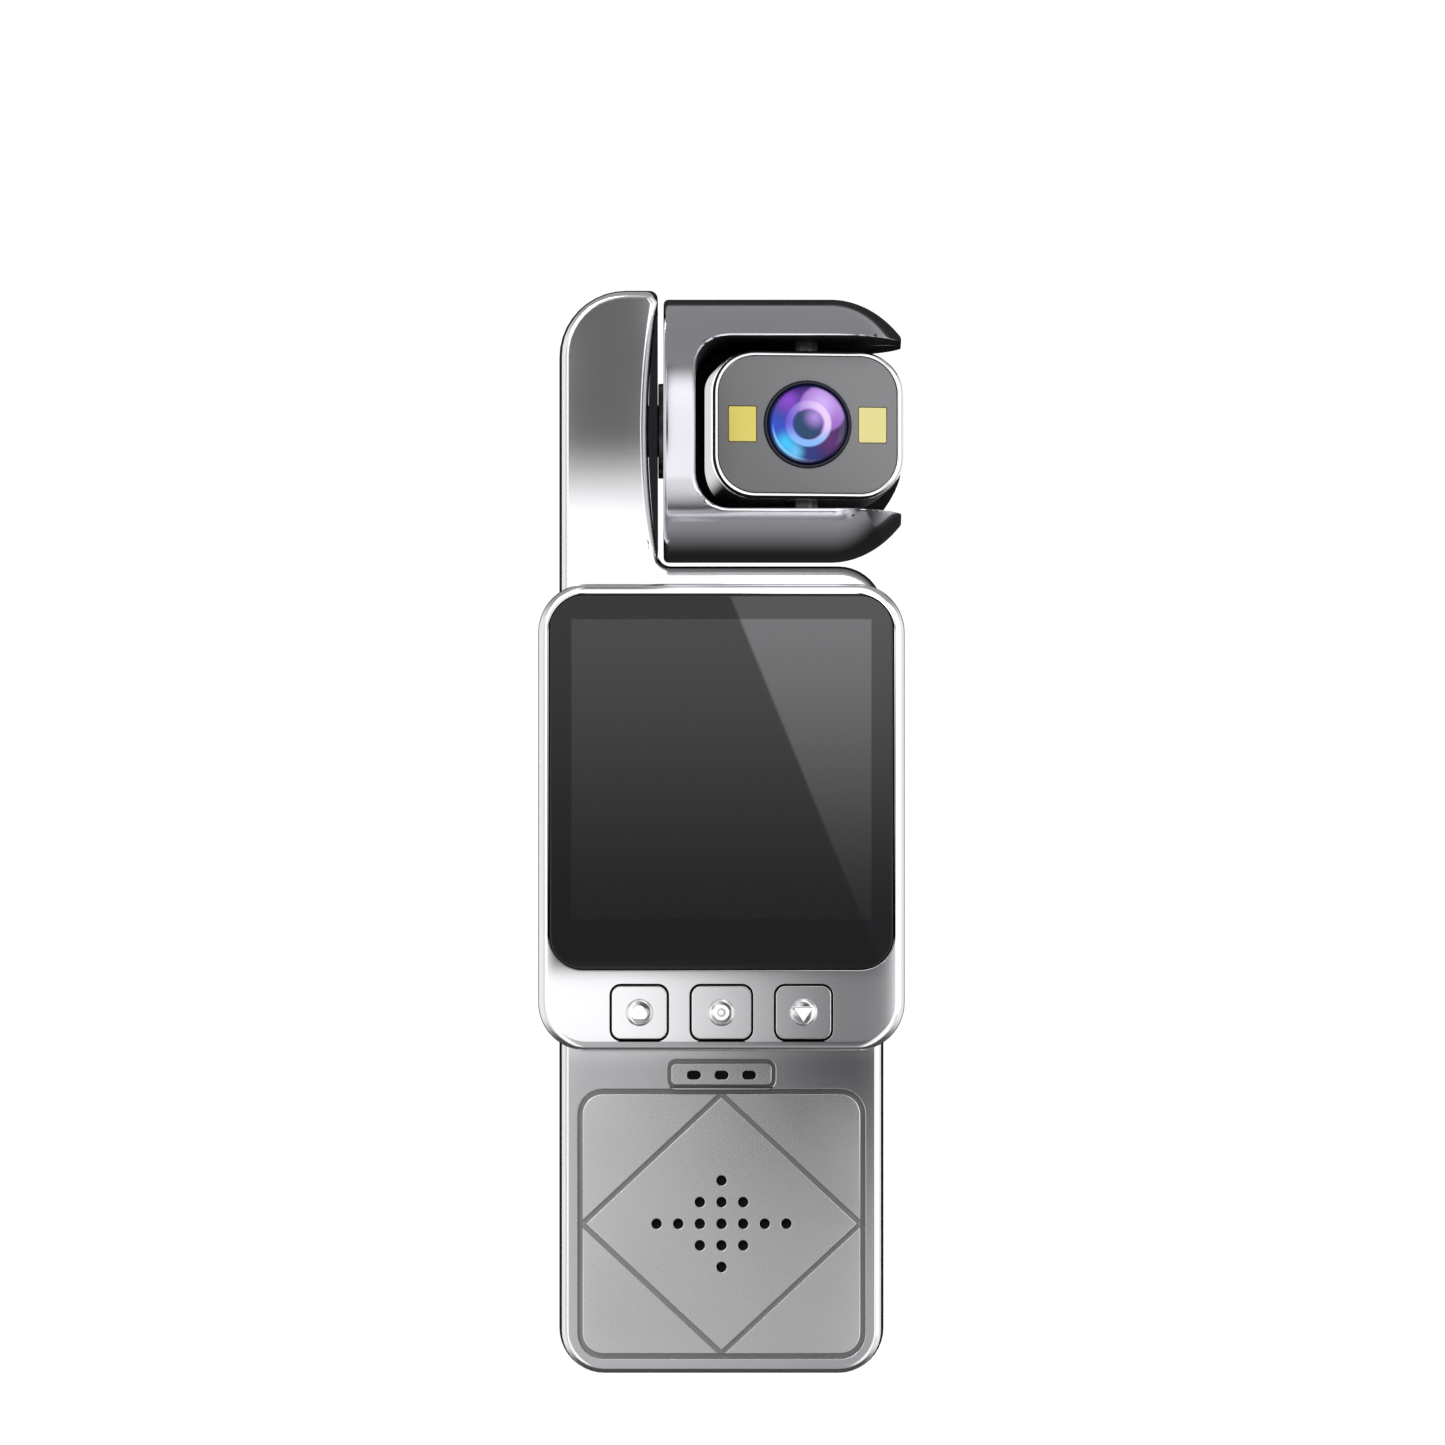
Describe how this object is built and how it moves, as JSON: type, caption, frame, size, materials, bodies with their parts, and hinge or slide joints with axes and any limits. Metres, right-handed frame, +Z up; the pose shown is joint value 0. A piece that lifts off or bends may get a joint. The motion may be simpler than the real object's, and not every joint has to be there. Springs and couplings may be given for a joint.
{
  "type": "dash camera",
  "caption": "Windscreen dash camera: upright body with display, keys and speaker, a cabin camera in a turning side yoke and a tilting road camera behind.",
  "frame": {"origin": "centre of the adhesive pad's outer face, which sticks to the windscreen", "axes": "+Z up the body, +Y out through the windscreen at the road, +X to the right as seen from the cabin"},
  "size_m": [0.0338, 0.0269, 0.1005],
  "materials": {
    "silver_shell": "glossy silver paint on plastic",
    "gunmetal": "glossy dark silver paint on plastic",
    "chrome_trim": "polished plating",
    "black_plastic": "fine texture",
    "smoked_panel": "satin dark grey",
    "display_glass": "polished dark cover glass, seen as opaque",
    "lens_glass": "coated lens glass",
    "led_lens": "yellow encapsulant",
    "steel": "plain",
    "board": "solder mask",
    "dark_part": "moulded",
    "cell_wrap": "foil pouch",
    "foam": "foam tape"
  },
  "bodies": {
    "casing": {"rear_casing": "silver_shell", "front_casing": "black_plastic", "hinge_seat": "black_plastic", "display_housing": "silver_shell", "display_glass": "display_glass", "lcd_panel": "dark_part", "lcd_back_tray": "steel", "key_board": "board", "speaker_panel": "silver_shell", "microphone_plate": "silver_shell", "speaker": "dark_part", "microphone": "steel", "main_board": "board", "processor": "dark_part", "heat_spreader": "steel", "battery": "cell_wrap", "card_socket": "steel", "power_port": "steel", "av_jack": "dark_part", "lens_cradle": "black_plastic", "mount_plate": "black_plastic", "adhesive_pad": "foam", "key_switch_1": "dark_part", "key_switch_2": "dark_part", "key_switch_3": "dark_part", "body_screw_1": "steel", "body_screw_2": "steel", "body_screw_3": "steel", "body_screw_4": "steel", "plate_screw_1": "steel", "plate_screw_2": "steel"},
    "yoke": {"yoke_cabin_shell": "gunmetal", "yoke_road_shell": "gunmetal", "yoke_hub": "black_plastic", "yoke_screw_upper": "steel", "yoke_screw_lower": "steel", "friction_washer": "steel", "hub_nut": "steel"},
    "pod": {"pod_shell": "silver_shell", "pod_rim": "chrome_trim", "pod_face": "smoked_panel", "pod_led_left": "led_lens", "pod_led_right": "led_lens", "pod_led_board": "board", "pod_lens_barrel": "black_plastic", "pod_lens": "lens_glass", "pod_sensor_board": "board", "pod_sensor": "dark_part", "pod_pin_upper": "steel", "pod_pin_lower": "steel"},
    "road_lens": {"lens_drum": "black_plastic", "road_lens_barrel": "black_plastic", "road_lens_ring": "chrome_trim", "road_lens": "lens_glass", "road_sensor_board": "board"},
    "menu_button": {"menu_button": "silver_shell"},
    "ok_button": {"ok_button": "silver_shell"},
    "down_button": {"down_button": "silver_shell"},
    "card": {"memory_card": "dark_part"}
  },
  "joints": [
    {"name": "yoke_tilt", "type": "hinge", "parent": "casing", "child": "yoke", "pos_m": [0, -0.0147, 0.0334], "axis": [-1, 0, 0], "range_deg": [-95, 85]},
    {"name": "pod_swivel", "type": "hinge", "parent": "yoke", "child": "pod", "pos_m": [0.0075, -0.01649, 0.03356], "axis": [0, 0.0872, 0.9962], "range_deg": [-36, 54]},
    {"name": "road_lens_tilt", "type": "hinge", "parent": "casing", "child": "road_lens", "pos_m": [0, -0.0082, -0.037], "axis": [-1, 0, 0], "range_deg": [-15, 25]},
    {"name": "menu_press", "type": "slide", "parent": "casing", "child": "menu_button", "axis": [0, 1, 0], "range_m": [0, 0.0004], "stiffness_N_per_m": 300, "springref_m": -0.001},
    {"name": "ok_press", "type": "slide", "parent": "casing", "child": "ok_button", "axis": [0, 1, 0], "range_m": [0, 0.0004], "stiffness_N_per_m": 300, "springref_m": -0.001},
    {"name": "down_press", "type": "slide", "parent": "casing", "child": "down_button", "axis": [0, 1, 0], "range_m": [0, 0.0004], "stiffness_N_per_m": 300, "springref_m": -0.001},
    {"name": "card_slide", "type": "slide", "parent": "casing", "child": "card", "axis": [1, 0, 0], "range_m": [0, 0.018]}
  ]
}
